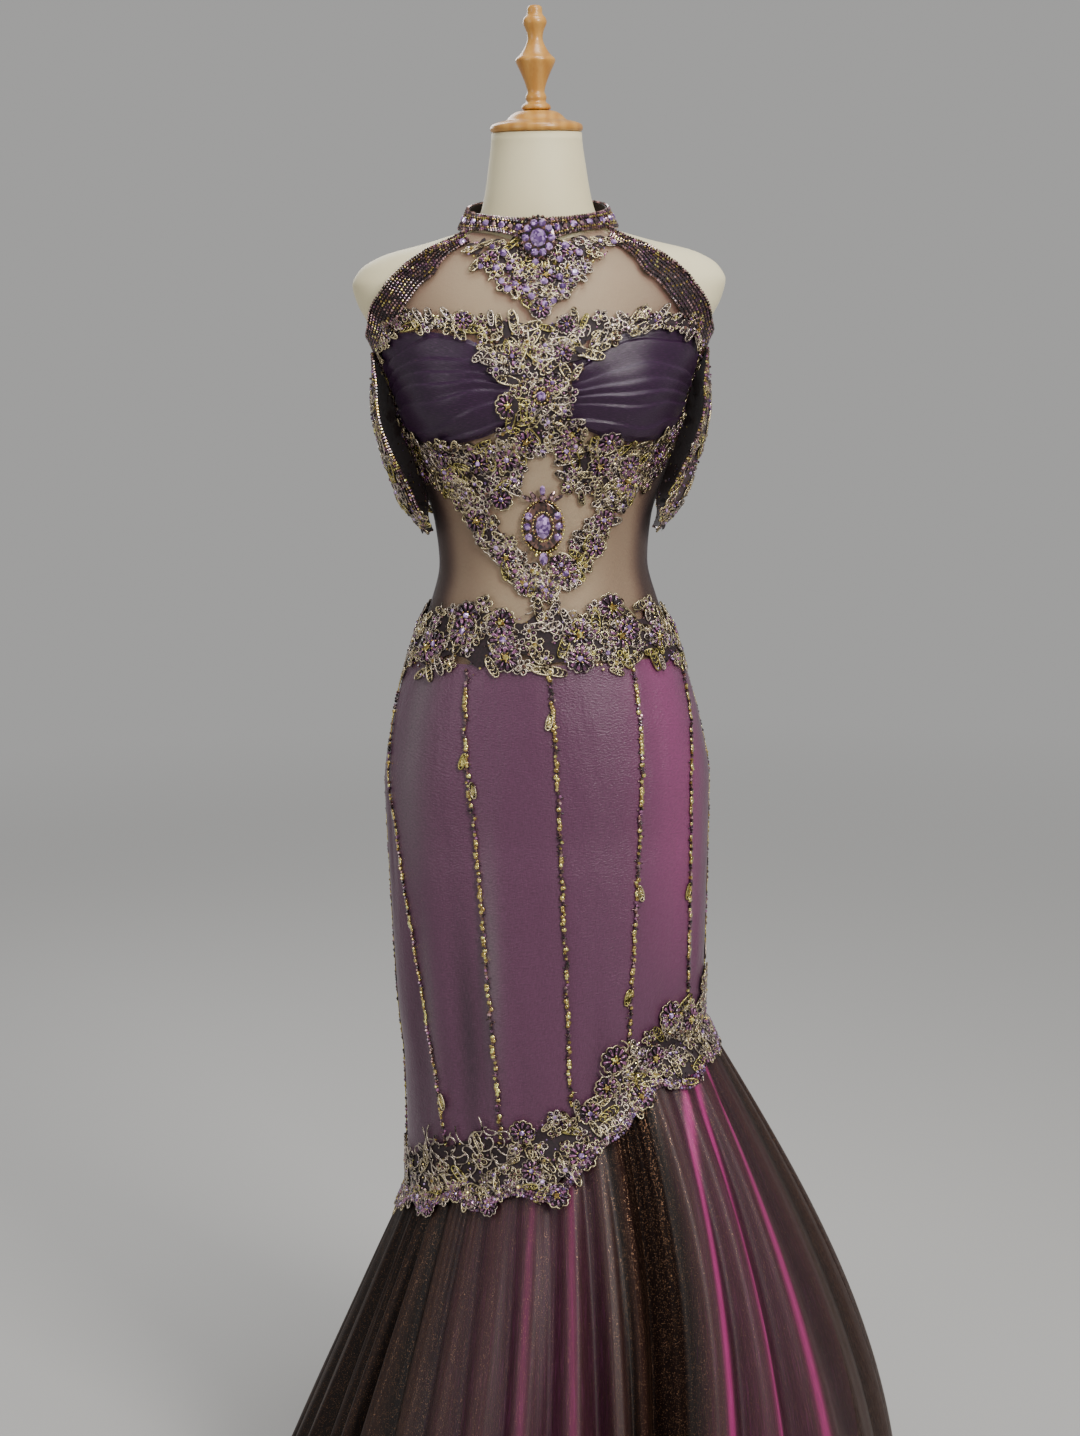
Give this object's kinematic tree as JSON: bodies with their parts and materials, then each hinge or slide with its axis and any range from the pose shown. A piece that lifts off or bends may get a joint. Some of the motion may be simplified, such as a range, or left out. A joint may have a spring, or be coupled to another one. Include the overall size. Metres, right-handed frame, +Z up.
{
  "type": "mermaid evening dress on a dress form",
  "caption": "Floor-length halter mermaid gown with net bodice, satin hips and slanting organza flare, on a limbless dress form with stand.",
  "frame": {"origin": "centre of the underside of the stand's round base", "axes": "+Z up along the stand's pole, -Y towards the front of the dress"},
  "size_m": [0.7393, 0.7876, 1.669],
  "materials": {
    "form": "smooth ivory cloth-like skin",
    "wood": "turned pale beech, varnished",
    "stand": "grey powder coat",
    "net": "fine brown net",
    "cup_satin": "dark purple satin in pleats",
    "skirt_satin": "shot purple satin",
    "lining": "magenta satin",
    "organza": "brown glitter organza",
    "lace": "corded gold and pewter lace with purple beads",
    "beads": "bronze and purple beads",
    "stones": "cut lilac stones",
    "metal": "antique gold"
  },
  "bodies": {
    "root": {"form_torso": "form", "neck_cap": "wood", "finial": "wood", "stand_base": "stand", "stand_pole": "stand", "bodice_front": "net", "bodice_back_left": "net", "bodice_back_right": "net", "collar": "beads", "collar_button_upper": "stones", "collar_button_lower": "stones", "halter_left": "beads", "halter_right": "beads", "cup_left": "cup_satin", "cup_right": "cup_satin", "sleeve_left": "net", "sleeve_right": "net", "lace_bust_top": "lace", "lace_bust_centre": "lace", "lace_underbust_left": "lace", "lace_underbust_right": "lace", "lace_midriff": "lace", "lace_bib": "lace", "brooch_collar": "stones", "brooch_midriff": "stones", "lace_waist_front": "lace", "lace_waist_back": "lace", "hip_panel_01": "skirt_satin", "hip_panel_02": "skirt_satin", "hip_panel_03": "skirt_satin", "hip_panel_04": "skirt_satin", "hip_panel_05": "skirt_satin", "hip_panel_06": "skirt_satin", "hip_panel_07": "skirt_satin", "hip_panel_08": "skirt_satin", "hip_panel_09": "skirt_satin", "hip_panel_10": "skirt_satin", "hip_panel_11": "skirt_satin", "hip_panel_12": "skirt_satin", "lace_hem_front": "lace", "lace_hem_back": "lace", "underskirt_gore_1": "lining", "underskirt_gore_2": "lining", "underskirt_gore_3": "lining", "underskirt_gore_4": "lining", "overskirt_gore_1": "organza", "overskirt_gore_2": "organza", "overskirt_gore_3": "organza", "overskirt_gore_4": "organza", "overskirt_gore_5": "organza", "overskirt_gore_6": "organza", "zip_pull": "metal"}
  },
  "joints": []
}
